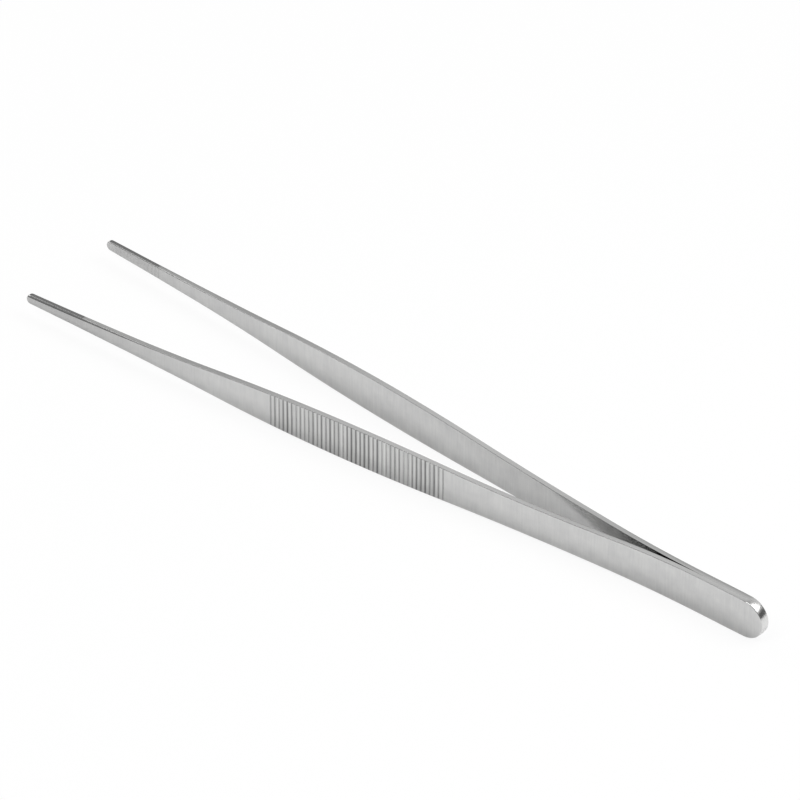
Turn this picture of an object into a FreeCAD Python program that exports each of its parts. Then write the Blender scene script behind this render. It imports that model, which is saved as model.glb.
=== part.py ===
"""Aquascaping tweezers: two mirrored stainless arms, flat together at the heel and welded round its end.

Row frame, in millimetres: +Z up, heel at +X, tips at -X, near arm at -Y, far arm at +Y.
The pair stands on the lower edges of its arms, at z = 0. A "station" is a distance from the heel end.
"""
import FreeCAD, Part
import math
import os
import re
import Sketcher

# name, value, what it is
DIMENSIONS = [
    ("overall_length", 270.0, "heel end to tips"),
    ("strip_width", 12.9, "height of an arm at its heel and at its grip, so that the pair stands level"),
    ("steel_thickness", 1.75, "of an arm at its heel"),
    ("waist_cut", 1.05, "how far each edge is hollowed between heel and grip"),
    ("waist_station", 82.0, "deepest place of that hollow"),
    ("grip_station", 144.5, "middle of the grip, where the arm is at its full height"),
    ("jaw_length", 36.0, "slender last length of an arm"),
    ("neck_width", 4.9, "height where the jaw starts"),
    ("tip_width", 3.2, "height at the rounded tip"),
    ("closed_run", 21.0, "length over which the arms lie flat together"),
    ("spread_radius", 330.0, "of the bend that opens the arms, on the inner face"),
    ("spread_angle", 5.9, "turned by that bend, in degrees"),
    ("inner_bow_radius", 3600.0, "of the long inward bow, on the inner face"),
    ("outer_bow_radius", 3840.0, "of the same bow on the outer face, so that the steel thickens to the tip"),
    ("edge_round", 0.4, "on the edges of the outer face"),
    ("rib_count", 41.0, "grooves on each grip"),
    ("rib_pitch", 1.57, "from groove to groove"),
    ("rib_opening", 0.96, "width of a groove at the surface"),
    ("rib_depth", 0.36, "of a groove"),
    ("tooth_count", 36.0, "notches on each jaw"),
    ("tooth_pitch", 0.6, "from notch to notch"),
    ("tooth_opening", 0.45, "width of a notch at the surface"),
    ("tooth_depth", 0.18, "of a notch"),
    ("tooth_setback", 1.2, "from the tip to the first notch"),
    ("weld_throat", 0.5, "depth of the weld, and half its width"),
    ("flexure_station", 66.0, "where each arm is taken to bend"),
    ("flexure_gap", 0.3, "between the fixed and the moving length of an arm"),
    ("tool_margin", 2.0, "that a cut runs past the steel"),
]
NODES = ["near_arm_heel", "near_arm_blade", "far_arm_heel", "far_arm_blade", "heel_weld"]
ALIASES = re.compile(r"\b(" + "|".join(name for name, _, _ in DIMENSIONS) + r")\b")

# centres of the two long bows, in plan: inside face and outside face
CLOSED_END = "(overall_length / 2 - closed_run)"
SPREAD = "(spread_angle * 1 deg)"
INNER_CENTRE_X = f"({CLOSED_END} - (spread_radius + inner_bow_radius) * sin({SPREAD}))"
INNER_CENTRE_Y = f"(-spread_radius + (spread_radius + inner_bow_radius) * cos({SPREAD}))"
OUTER_REACH = "(spread_radius - steel_thickness + outer_bow_radius)"
OUTER_CENTRE_X = f"({CLOSED_END} - {OUTER_REACH} * sin({SPREAD}))"
OUTER_CENTRE_Y = f"(-spread_radius + {OUTER_REACH} * cos({SPREAD}))"

ORIGIN, X_AXIS, Y_AXIS = -1, -1, -2     # how a sketch counts its own origin and axes
START, END, CENTRE = 1, 2, 3


def make_sheet(doc):
    """Put the driving dimensions in a sheet, one to a row: its value with an alias, then what it is."""
    sheet = doc.addObject("Spreadsheet::Sheet", "Sheet")
    for row, (name, value, meaning) in enumerate(DIMENSIONS, start=1):
        sheet.set(f"A{row}", str(value))
        sheet.setAlias(f"A{row}", name)
        sheet.set(f"B{row}", meaning)
    doc.recompute()


def bound(words):
    """Write a formula of dimensions as FreeCAD reads it, with each name pointing at its cell."""
    return ALIASES.sub(r"Sheet.\1", words)


def worked_out(doc, words):
    """Give a formula's value now."""
    value = doc.Sheet.evalExpression(bound(words))
    return float(getattr(value, "Value", value))


def bind(item, settings):
    """Bind an object's properties to formulas of the dimensions."""
    for name, words in settings.items():
        item.setExpression(name, bound(words))


class Drawing:
    """A sketch on one of its body's origin planes, with its lengths bound to the sheet."""

    def __init__(self, body, name, plane, offset=None):
        self.doc = body.Document
        self.sketch = body.newObject("Sketcher::SketchObject", name)
        planes = {item.Role: item for item in body.Origin.OriginFeatures}
        self.sketch.AttachmentSupport = (planes[plane], [""])
        self.sketch.MapMode = "FlatFace"
        if offset:
            bind(self.sketch, {f"AttachmentOffset.{key}": words for key, words in offset.items()})

    def line(self, start, end):
        """Draw a line between two points and return its number."""
        ends = [FreeCAD.Vector(x, y, 0) for x, y in (start, end)]
        return self.sketch.addGeometry(Part.LineSegment(*ends), False)

    def arc(self, centre, radius, first, last):
        """Draw an arc, anticlockwise between two angles in degrees, and return its number."""
        circle = Part.Circle(FreeCAD.Vector(*centre, 0), FreeCAD.Vector(0, 0, 1), radius)
        return self.sketch.addGeometry(Part.ArcOfCircle(circle, math.radians(first), math.radians(last)), False)

    def rule(self, kind, *where):
        """Add a constraint that has no size."""
        return self.sketch.addConstraint(Sketcher.Constraint(kind, *where))

    def size(self, name, kind, *where, words):
        """Add a constraint whose size is a formula of the dimensions."""
        value = worked_out(self.doc, words)
        if kind == "Angle":
            value = math.radians(value)
        number = self.sketch.addConstraint(Sketcher.Constraint(kind, *where, value))
        self.sketch.renameConstraint(number, name)
        self.sketch.setExpression(f"Constraints.{name}", bound(words))


def bow_point(centre, radius, angle):
    """A point on a bow, at an angle in degrees from its lowest point towards the heel."""
    turn = math.radians(angle)
    return centre[0] + radius * math.sin(turn), centre[1] - radius * math.cos(turn)


def draw_plan(body):
    """Draw the near arm as seen from above: flat heel, opening bend, and long bow back towards the middle."""
    doc = body.Document
    value = {name: worked_out(doc, name) for name, _, _ in DIMENSIONS}
    half = value["overall_length"] / 2
    thick = value["steel_thickness"]
    closed = half - value["closed_run"]
    turn = value["spread_angle"]
    inner_radius = value["inner_bow_radius"]
    outer_radius = value["outer_bow_radius"]
    inner_centre = (worked_out(doc, INNER_CENTRE_X), worked_out(doc, INNER_CENTRE_Y))
    outer_centre = (worked_out(doc, OUTER_CENTRE_X), worked_out(doc, OUTER_CENTRE_Y))
    inner_tip = math.degrees(math.asin((-half - inner_centre[0]) / inner_radius))
    outer_tip = math.degrees(math.asin((-half - outer_centre[0]) / outer_radius))
    spread_centre = (closed, -value["spread_radius"])

    plan = Drawing(body, "Plan", "XY_Plane")
    inner_heel = plan.line((half, 0), (closed, 0))
    inner_spread = plan.arc(spread_centre, value["spread_radius"], 90, 90 + turn)
    inner_bow = plan.arc(inner_centre, inner_radius, 270 + inner_tip, 270 + turn)
    tip = plan.line(bow_point(inner_centre, inner_radius, inner_tip), bow_point(outer_centre, outer_radius, outer_tip))
    outer_bow = plan.arc(outer_centre, outer_radius, 270 + outer_tip, 270 + turn)
    outer_spread = plan.arc(spread_centre, value["spread_radius"] - thick, 90, 90 + turn)
    outer_heel = plan.line((closed, -thick), (half, -thick))
    heel = plan.line((half, -thick), (half, 0))

    plan.rule("Tangent", inner_heel, END, inner_spread, START)
    plan.rule("Tangent", inner_spread, END, inner_bow, END)
    plan.rule("Coincident", inner_bow, START, tip, START)
    plan.rule("Coincident", tip, END, outer_bow, START)
    plan.rule("Tangent", outer_bow, END, outer_spread, END)
    plan.rule("Tangent", outer_spread, START, outer_heel, START)
    plan.rule("Coincident", outer_heel, END, heel, START)
    plan.rule("Coincident", heel, END, inner_heel, START)
    plan.rule("Coincident", inner_spread, CENTRE, outer_spread, CENTRE)
    plan.rule("PointOnObject", inner_heel, START, X_AXIS)
    plan.rule("Horizontal", inner_heel)
    plan.rule("Horizontal", outer_heel)
    plan.rule("Vertical", heel)
    plan.rule("Vertical", tip)
    plan.size("half_length", "DistanceX", ORIGIN, START, inner_heel, START, words="overall_length / 2")
    plan.size("tip_reach", "DistanceX", tip, START, ORIGIN, START, words="overall_length / 2")
    plan.size("closed_run", "DistanceX", inner_heel, END, inner_heel, START, words="closed_run")
    plan.size("spread_radius", "Radius", inner_spread, words="spread_radius")
    plan.size("spread_turn", "Angle", inner_spread, words="spread_angle * 1 deg")
    plan.size("outer_spread_turn", "Angle", outer_spread, words="spread_angle * 1 deg")
    plan.size("thickness", "DistanceY", heel, START, heel, END, words="steel_thickness")
    plan.size("inner_bow", "Radius", inner_bow, words="inner_bow_radius")
    plan.size("outer_bow", "Radius", outer_bow, words="outer_bow_radius")
    return plan.sketch


def ogee(start, end):
    """Radius and turn, in degrees, of the two equal arcs that lead level from one point to another."""
    run, rise = abs(end[0] - start[0]), abs(end[1] - start[1])
    radius = (run ** 2 + rise ** 2) / (4 * rise)
    return radius, math.degrees(math.asin(run / (2 * radius)))


def draw_trim(body):
    """Draw what is cut away above the arm's outline: round heel, hollow waist, full grip, taper and slender jaw."""
    doc = body.Document
    value = {name: worked_out(doc, name) for name, _, _ in DIMENSIONS}
    half = value["overall_length"] / 2
    top = value["strip_width"] / 2
    margin = value["tool_margin"]
    closed = half - value["closed_run"]
    waist = (half - value["waist_station"], top - value["waist_cut"])
    grip = (half - value["grip_station"], top)
    neck = (value["jaw_length"] - half, value["neck_width"] / 2)
    tip_radius = value["tip_width"] / 2
    jaw_turn = math.degrees(math.asin((neck[1] - tip_radius) / (value["jaw_length"] - tip_radius)))

    trim = Drawing(body, "Trim", "XZ_Plane")
    heel_round = trim.arc((half - top, 0), top, 0, 90)
    heel_edge = trim.line((half - top, top), (closed, top))
    radius, turn = ogee((closed, top), waist)
    fall = trim.arc((closed, top - radius), radius, 90, 90 + turn)
    waist_heel = trim.arc((waist[0], waist[1] + radius), radius, 270, 270 + turn)
    radius, turn = ogee(waist, grip)
    waist_grip = trim.arc((waist[0], waist[1] + radius), radius, 270 - turn, 270)
    rise = trim.arc((grip[0], top - radius), radius, 90 - turn, 90)
    radius, turn = ogee(grip, neck)
    grip_taper = trim.arc((grip[0], top - radius), radius, 90, 90 + turn)
    taper_neck = trim.arc((neck[0], neck[1] + radius), radius, 270 - jaw_turn, 270 + turn)
    shoulder = (tip_radius - half - tip_radius * math.sin(math.radians(jaw_turn)),
                tip_radius * math.cos(math.radians(jaw_turn)))
    jaw_edge = trim.line(neck, shoulder)
    tip_round = trim.arc((tip_radius - half, 0), tip_radius, 90 + jaw_turn, 180)
    corners = [(-half, 0), (-half - margin, 0), (-half - margin, top + margin),
               (half + margin, top + margin), (half + margin, 0), (half, 0)]
    frame = [trim.line(*ends) for ends in zip(corners, corners[1:])]

    trim.rule("Tangent", heel_round, END, heel_edge, START)
    trim.rule("Tangent", heel_edge, END, fall, START)
    trim.rule("Tangent", fall, END, waist_heel, END)
    trim.rule("Tangent", waist_heel, START, waist_grip, END)
    trim.rule("Tangent", waist_grip, START, rise, START)
    trim.rule("Tangent", rise, END, grip_taper, START)
    trim.rule("Tangent", grip_taper, END, taper_neck, END)
    trim.rule("Tangent", taper_neck, START, jaw_edge, START)
    trim.rule("Tangent", jaw_edge, END, tip_round, START)
    trim.rule("Coincident", tip_round, END, frame[0], START)
    for before, after in zip(frame, frame[1:]):
        trim.rule("Coincident", before, END, after, START)
    trim.rule("Coincident", frame[-1], END, heel_round, START)
    for number, way in zip(frame, ["Horizontal", "Vertical", "Horizontal", "Vertical", "Horizontal"]):
        trim.rule(way, number)
    trim.rule("Horizontal", heel_edge)
    for pair in [(fall, waist_heel), (waist_grip, rise), (grip_taper, taper_neck)]:
        trim.rule("Equal", *pair)
    for number, place in [(heel_round, CENTRE), (heel_round, START), (tip_round, CENTRE), (tip_round, END)]:
        trim.rule("PointOnObject", number, place, X_AXIS)
    trim.rule("Vertical", waist_grip, CENTRE, waist_grip, END)
    trim.rule("Vertical", rise, CENTRE, rise, END)
    trim.size("heel_round", "Radius", heel_round, words="strip_width / 2")
    trim.size("tip_round", "Radius", tip_round, words="tip_width / 2")
    trim.size("heel_reach", "DistanceX", ORIGIN, START, heel_round, START, words="overall_length / 2")
    trim.size("tip_reach", "DistanceX", tip_round, END, ORIGIN, START, words="overall_length / 2")
    trim.size("closed_end", "DistanceX", heel_edge, END, heel_round, START, words="closed_run")
    trim.size("waist_along", "DistanceX", waist_grip, END, heel_round, START, words="waist_station")
    trim.size("waist_height", "DistanceY", ORIGIN, START, waist_grip, END, words="strip_width / 2 - waist_cut")
    trim.size("grip_along", "DistanceX", rise, END, heel_round, START, words="grip_station")
    trim.size("grip_height", "DistanceY", ORIGIN, START, rise, END, words="strip_width / 2")
    trim.size("jaw_along", "DistanceX", tip_round, END, jaw_edge, START, words="jaw_length")
    trim.size("neck_height", "DistanceY", ORIGIN, START, jaw_edge, START, words="neck_width / 2")
    trim.size("frame_low", "DistanceX", frame[0], END, frame[0], START, words="tool_margin")
    trim.size("frame_high", "DistanceX", frame[4], END, frame[4], START, words="tool_margin")
    trim.size("frame_top", "DistanceY", frame[1], START, frame[1], END, words="strip_width / 2 + tool_margin")
    return trim.sketch


def add_feature(body, kind, name, takes_away=True, sizes=None, **settings):
    """Add a PartDesign feature, rebuild, and stop if the volume didn't change the way it should."""
    before = 0 if body.Shape.isNull() else body.Shape.Volume
    feature = body.newObject(f"PartDesign::{kind}", name)
    for key, setting in settings.items():
        setattr(feature, key, setting)
    bind(feature, sizes or {})
    body.Tip = feature
    body.Document.recompute()
    change = body.Shape.Volume - before
    if not feature.Shape.isValid() or change == 0 or (change < 0) != takes_away:
        raise RuntimeError(f"{feature.Label} changed the volume by {change:.3f} cubic mm")
    return feature


def origin_plane(body, role):
    """Find one of a body's own origin planes, as features refer to it."""
    planes = {item.Role: item for item in body.Origin.OriginFeatures}
    return planes[role], [""]


def outer_edges(shape):
    """Name the edges round the outer face, leaving out the seams between its own stretches."""
    outer = [face for face in shape.Faces if face.normalAt(*face.Surface.parameter(face.CenterOfMass)).y < -0.9]
    names = []
    for number, edge in enumerate(shape.Edges, start=1):
        beside = [face for face in outer if any(edge.isSame(other) for other in face.Edges)]
        if len(beside) == 1:
            names.append(f"Edge{number}")
    return names


def draw_weld_section(body, name, outer, half_width):
    """Draw the weld's three-cornered section, point inwards, in a sketch centred on the heel's round end.

    outer is how far out the section ends, and half_width how far it reaches to -Y there, as formulas.
    """
    section = Drawing(body, name, "XY_Plane", {"Base.x": "(overall_length - strip_width) / 2"})
    reach, low = (worked_out(body.Document, words) for words in (outer, half_width))
    root = worked_out(body.Document, "strip_width / 2 - weld_throat")
    corners = [(root, 0), (reach, -low), (reach, low), (root, 0)]
    sides = [section.line(*ends) for ends in zip(corners, corners[1:])]
    for before, after in zip(sides, sides[1:] + sides[:1]):
        section.rule("Coincident", before, END, after, START)
    section.rule("PointOnObject", sides[0], START, X_AXIS)
    section.rule("Symmetric", sides[1], START, sides[1], END, X_AXIS)
    section.size("root", "DistanceX", ORIGIN, START, sides[0], START, words="strip_width / 2 - weld_throat")
    section.size("outer", "DistanceX", ORIGIN, START, sides[1], START, words=outer)
    section.size("width", "DistanceY", sides[1], START, sides[1], END, words=f"2 * ({half_width})")
    return section.sketch


def draw_notch(body, name, centre, turn, apex, base, opening):
    """Draw a three-cornered notch in a sketch centred on a bow and turned to the notch's place.

    apex and base are distances from the bow's centre, and opening is the width half way, at the surface.
    """
    place = {"Base.x": centre[0], "Base.y": centre[1], "Rotation.Angle": turn}
    notch = Drawing(body, name, "XY_Plane", place)
    depth, floor, half = (worked_out(body.Document, words) for words in (apex, base, opening))
    corners = [(0, -depth), (half, -floor), (-half, -floor), (0, -depth)]
    sides = [notch.line(*ends) for ends in zip(corners, corners[1:])]
    for before, after in zip(sides, sides[1:] + sides[:1]):
        notch.rule("Coincident", before, END, after, START)
    notch.rule("PointOnObject", sides[0], START, Y_AXIS)
    notch.rule("Symmetric", sides[1], START, sides[1], END, Y_AXIS)
    notch.size("apex", "DistanceY", sides[0], START, ORIGIN, START, words=apex)
    notch.size("base", "DistanceY", sides[1], START, ORIGIN, START, words=base)
    notch.size("spread", "DistanceX", sides[1], END, sides[1], START, words=f"2 * {opening}")
    return notch.sketch


def cut_row(body, name, sketch, count, step):
    """Cut a notch through the arm's whole height and repeat it round the bow, towards the heel."""
    cut = add_feature(body, "Pocket", name, Profile=sketch, SideType="Symmetric", Type="ThroughAll")
    sizes = {"Occurrences": count, "Angle": f"({count} - 1) * {step}"}
    add_feature(body, "PolarPattern", f"{name}Row", sizes=sizes, Originals=[cut], Axis=(sketch, ["N_Axis"]))


def make_arm(doc):
    """Build the whole near arm, as one body with its mid height at its own z = 0."""
    arm = doc.addObject("PartDesign::Body", "Arm")
    arm.Label = "arm_blank"
    bind(arm, {"Placement.Base.z": "strip_width / 2"})
    add_feature(arm, "Pad", "Strip", False, {"Length": "strip_width"}, Profile=draw_plan(arm), SideType="Symmetric")
    trim = add_feature(arm, "Pocket", "UpperTrim", Profile=draw_trim(arm), SideType="Symmetric", Type="ThroughAll")
    trimmed = add_feature(arm, "Mirrored", "LowerTrim", Originals=[trim], MirrorPlane=origin_plane(arm, "XY_Plane"))
    edges = (trimmed, outer_edges(trimmed.Shape))
    add_feature(arm, "Fillet", "OuterEdges", sizes={"Radius": "edge_round"}, Base=edges)

    reach = "strip_width / 2 + tool_margin"
    bevel = draw_weld_section(arm, "BevelSection", reach, "weld_throat + tool_margin")
    add_feature(arm, "Groove", "WeldBevel", Profile=bevel, ReferenceAxis=(bevel, ["V_Axis"]), Midplane=True, Angle=180)

    centre = (OUTER_CENTRE_X, OUTER_CENTRE_Y)
    step = "(rib_pitch / outer_bow_radius * 1 rad)"
    middle = f"asin((overall_length / 2 - grip_station - {OUTER_CENTRE_X}) / outer_bow_radius)"
    turn = f"{middle} - (rib_count - 1) / 2 * {step}"
    apex, base = "outer_bow_radius - rib_depth", "outer_bow_radius + rib_depth"
    cut_row(arm, "Rib", draw_notch(arm, "RibNotch", centre, turn, apex, base, "rib_opening"), "rib_count", step)

    centre = (INNER_CENTRE_X, INNER_CENTRE_Y)
    step = "(tooth_pitch / inner_bow_radius * 1 rad)"
    tip = f"asin((-overall_length / 2 - {INNER_CENTRE_X}) / inner_bow_radius)"
    turn = f"{tip} + tooth_setback / inner_bow_radius * 1 rad"
    apex, base = "inner_bow_radius + tooth_depth", "inner_bow_radius - tooth_depth"
    cut_row(arm, "Tooth", draw_notch(arm, "ToothNotch", centre, turn, apex, base, "tooth_opening"), "tooth_count", step)
    return arm


def split_arm(doc, arm, node, start, length):
    """Keep the length of the near arm between two places along X, and mirror it to the far side."""
    window = doc.addObject("Part::Box", f"window_{node}")
    bind(window, {
        "Length": length,
        "Width": "overall_length",
        "Height": "strip_width + 2 * tool_margin",
        "Placement.Base.x": start,
        "Placement.Base.y": "-overall_length + tool_margin",
        "Placement.Base.z": "-tool_margin",
    })
    near = doc.addObject("Part::MultiCommon", f"near_{node}")
    near.Shapes = [arm, window]
    far = doc.addObject("Part::Mirroring", f"far_{node}")
    far.Source = near
    far.Normal = FreeCAD.Vector(0, 1, 0)
    doc.recompute()


def make_weld(doc):
    """Build the heel's weld: a half ring that fills the bevels of both arms, ground flush with them."""
    weld = doc.addObject("PartDesign::Body", "heel_weld")
    bind(weld, {"Placement.Base.z": "strip_width / 2"})
    section = draw_weld_section(weld, "WeldSection", "strip_width / 2", "weld_throat")
    add_feature(weld, "Revolution", "HalfRing", False, Profile=section,
                ReferenceAxis=(section, ["V_Axis"]), Midplane=True, Angle=180)


def check_document(doc):
    """Stop if any object failed to rebuild, or a sub-part isn't one valid solid."""
    for item in doc.Objects:
        if {"Invalid", "Error"} & set(item.State):
            raise RuntimeError(f"{item.Label} failed: {item.State}")
    for node in NODES:
        shape = doc.getObject(node).Shape
        if shape.isNull() or not shape.isValid() or len(shape.Solids) != 1:
            raise RuntimeError(f"{node} is not one valid solid")


def main():
    doc = FreeCAD.newDocument("AquascapingTweezers")
    make_sheet(doc)
    arm = make_arm(doc)
    flexure = "overall_length / 2 - flexure_station"
    split_arm(doc, arm, "arm_heel", f"{flexure} + flexure_gap / 2", "flexure_station - flexure_gap / 2 + tool_margin")
    split_arm(doc, arm, "arm_blade", "-overall_length / 2 - tool_margin",
              "overall_length - flexure_station - flexure_gap / 2 + tool_margin")
    make_weld(doc)
    doc.recompute()
    check_document(doc)
    os.makedirs("parts", exist_ok=True)
    for node in NODES:
        item = doc.getObject(node)
        item.Label = node
        item.Shape.exportStep(f"parts/{node}.step")
        print(f"{node}: {item.Shape.Volume:.1f} cubic mm")


main()
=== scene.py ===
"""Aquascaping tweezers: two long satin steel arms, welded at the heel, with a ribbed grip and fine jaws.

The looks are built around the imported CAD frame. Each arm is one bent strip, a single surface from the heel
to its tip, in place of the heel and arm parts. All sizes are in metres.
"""

import math

import bmesh
import bpy
import numpy as np
from bpy.props import FloatProperty, FloatVectorProperty, IntProperty, PointerProperty
from mathutils import Matrix, Vector


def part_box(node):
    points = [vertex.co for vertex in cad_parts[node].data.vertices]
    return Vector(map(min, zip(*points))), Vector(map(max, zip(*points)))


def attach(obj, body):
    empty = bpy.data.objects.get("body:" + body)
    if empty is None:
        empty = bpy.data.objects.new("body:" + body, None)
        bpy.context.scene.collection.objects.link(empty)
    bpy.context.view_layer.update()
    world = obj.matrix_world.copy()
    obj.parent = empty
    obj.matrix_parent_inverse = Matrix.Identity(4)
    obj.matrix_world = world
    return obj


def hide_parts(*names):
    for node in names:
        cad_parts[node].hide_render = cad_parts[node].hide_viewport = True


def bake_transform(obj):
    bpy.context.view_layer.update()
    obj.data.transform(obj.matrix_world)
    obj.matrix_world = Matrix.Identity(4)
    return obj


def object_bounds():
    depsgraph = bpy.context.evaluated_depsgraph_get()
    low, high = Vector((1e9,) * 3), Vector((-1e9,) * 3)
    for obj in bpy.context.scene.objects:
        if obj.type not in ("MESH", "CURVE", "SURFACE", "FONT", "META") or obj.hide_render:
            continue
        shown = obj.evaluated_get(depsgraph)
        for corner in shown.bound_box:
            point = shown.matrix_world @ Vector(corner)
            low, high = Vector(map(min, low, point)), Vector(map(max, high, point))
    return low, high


bl_info = {
    "name": "Aquascaping Tweezers",
    "version": (1, 0, 0),
    "blender": (4, 5, 0),
    "location": "3D View > Sidebar > Tweezers",
    "description": "Long satin steel tweezers for planting, with a ribbed grip",
    "category": "Add Mesh",
}

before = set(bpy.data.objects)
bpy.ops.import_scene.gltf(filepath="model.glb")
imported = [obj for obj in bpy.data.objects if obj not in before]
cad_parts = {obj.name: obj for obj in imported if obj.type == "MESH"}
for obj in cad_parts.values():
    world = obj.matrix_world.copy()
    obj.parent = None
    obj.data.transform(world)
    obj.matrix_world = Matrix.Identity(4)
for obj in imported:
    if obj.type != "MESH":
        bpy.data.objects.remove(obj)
BOX_AT_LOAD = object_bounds()
MM = 0.001
HEEL_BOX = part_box("near_arm_heel")
STRIP_WIDTH = HEEL_BOX[1].z - HEEL_BOX[0].z
OVERALL_LENGTH = BOX_AT_LOAD[1].x - BOX_AT_LOAD[0].x
HEEL_END = BOX_AT_LOAD[1].x

# Mesh rows along a piece and columns round it.
PLAIN_ROW = 1.5 * MM  # length of a row where an arm is plain
RIB_ROWS = 14  # rows to each groove of the grip
TOOTH_ROWS = 6  # rows to each notch of a jaw
END_ROWS = 26  # rows round each end
FACE_SHARES = (1, 0.82, 0.64, 0.46, 0.28, 0.13, 0.04, 0)  # columns of a face, from its middle to its edge
SIDE_SHARES = (0.12, 0.35, 0.65, 0.88)  # columns down a narrow edge
ROUND_COLUMNS = 8  # columns round each edge round
WELD_ROWS = 150
WELD_COLUMNS = 24
DOUBLES = 0.0002 * MM  # points closer than this are merged
SLIVERS = 0.0001 * MM  # faces thinner than this are dissolved

# What each point of an arm's mesh knows, beside its straightened place.
FACTS = ("edge_wear_and_highlight", "painted_groove_shade", "painted_jaw_shade")

# Seeds of each arm's rubbed edges, painted highlights and painted shade.
NEAR_SEED = 17
FAR_SEED = 23

# The grip and the jaws.
ROOT_BLEND = 0.1  # half openings over which a groove's root is rounded
ROOT_KEPT = 0.6  # share of that rounding that costs no depth
RIB_UNEVEN = 0.3  # the shallowest groove is this share less deep
RIB_RUN_OUT = 0.5  # a groove is this share less deep past the outer edge
TOOTH_UNEVEN = 0.12  # notches are this share less deep, give or take the same
JAW_ROUND_DEEP = 0.7  # the jaws' outer round, its depth to its width
JAW_ROUND_INSIDE = 0.35  # the jaws' inner round to the outer one's width

# Rubbed edges, painted highlights and painted shade, as shares of the full effect.
LIP_LOW = 0.06  # a lip carries a painted highlight from this share of a groove's depth
LIP_HIGH = 0.2  # and fades from this share to twice it
LIP_SHEEN = 2.2  # how strong the brightest painted lip highlight could be, before it is capped at 1
ROOT_SHADE = (0.35, 1.25)  # painted shade in the grooves' roots, least and most
LAND_SHADE = (0.03, 0.2)  # fainter painted shade on the lands between the grooves, least and most
NOTCH_SHADE = 0.6  # painted shade in the notches
JAW_FADE = 1.0 * MM  # over which the painted shade on a jaw's ground edges starts
FACE_SHADE_OUTSIDE = 0.34  # painted shade on the outer face from the grip to the jaw
FACE_SHADE_INSIDE = 0.18  # and on the inner face

# The weld bead.
WELD_PAST = 0.12  # angle by which the bead runs on past the half circle
WELD_SUNK = 0.012 * MM  # below the heel's round end
WELD_CROWN = 0.05 * MM  # fall from the bead's middle to its sides
WELD_SWEEP = 2.2  # how far the ripples sweep back at the bead's sides
WELD_END_WIDTH = 0.35  # share of the bead's width that is left at its ends

# A Mix node's colour sockets, which its other kinds share their names with.
MIX_A, MIX_B, MIX_RESULT = 6, 7, 2

# The studio. SKY lists greys by the sine of the height above the horizon.
FLOOR_Z = -0.03 * MM
FLOOR_REACH = 4.0
FLOOR_SEEN_WHITE = 0.9  # share of plain white in the paper that the camera sees
FLOOR_MIRRORED_WHITE = 0.06  # and in the paper that the steel mirrors
FLOOR_LIT = (0.25, 0.6)  # from here to here, from the middle, the paper runs out of the light
SKY = [
    (0.0, 0.16), (0.3, 0.2), (0.5, 0.33), (0.56, 0.46), (0.6, 0.6), (0.66, 0.7), (0.71, 0.62), (0.77, 0.36),
    (1.0, 0.3),
]
SKY_STRENGTH = 1.1
FRONT_GREY = 0.3
FRONT_FADE = (0.1, -0.5)  # Y of a direction, where the dim front starts and where it is complete
FLAG_GREY = 0.03
FLAG_EDGES = {"X": (0.4, 0.6), "Y": (0.1, 0.35), "Z": (0.62, 0.45)}  # and the same of the flag, on each axis
# Name, azimuth and elevation in degrees, distance, size and power.
LAMPS = [
    ("rear_softbox", 119.0, 57.0, 1.3, 0.85, 9.3),
    ("left_softbox", -95.0, 30.0, 1.3, 0.8, 4.0),
    ("front_softbox", -10.0, 58.0, 1.3, 0.5, 4.6),
]
# Angles in degrees, lengths in metres, lens in millimetres.
CAMERA_AZIMUTH = 39.77
CAMERA_ELEVATION = 37.06
CAMERA_ROLL = 0.19
CAMERA_DISTANCE = 2.0
CAMERA_AIM = (-2.0 * MM, 0.0, 21.0 * MM)
CAMERA_LENS = 303.5
CAMERA_SENSOR = 36.0
CAMERA_CLIP = (0.1, 20.0)


# Sizes and colours a user may change.

def size_property(name, about, default):
    return FloatProperty(name=name, description=about, default=default, unit="LENGTH", precision=5)


def colour_property(name, about, default):
    return FloatVectorProperty(
        name=name, description=about, default=linear(default), subtype="COLOR", size=3, min=0.0, max=1.0)


def linear(hex_colour):
    """An sRGB hex colour as linear red, green and blue: below 0.04045 a twelfth, above it a power of 2.4."""
    parts = np.array([int(hex_colour[i:i + 2], 16) for i in (1, 3, 5)]) / 255
    low, high = parts / 12.92, ((parts + 0.055) / 1.055) ** 2.4
    return tuple(float(c) for c in np.where(parts <= 0.04045, low, high))


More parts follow.
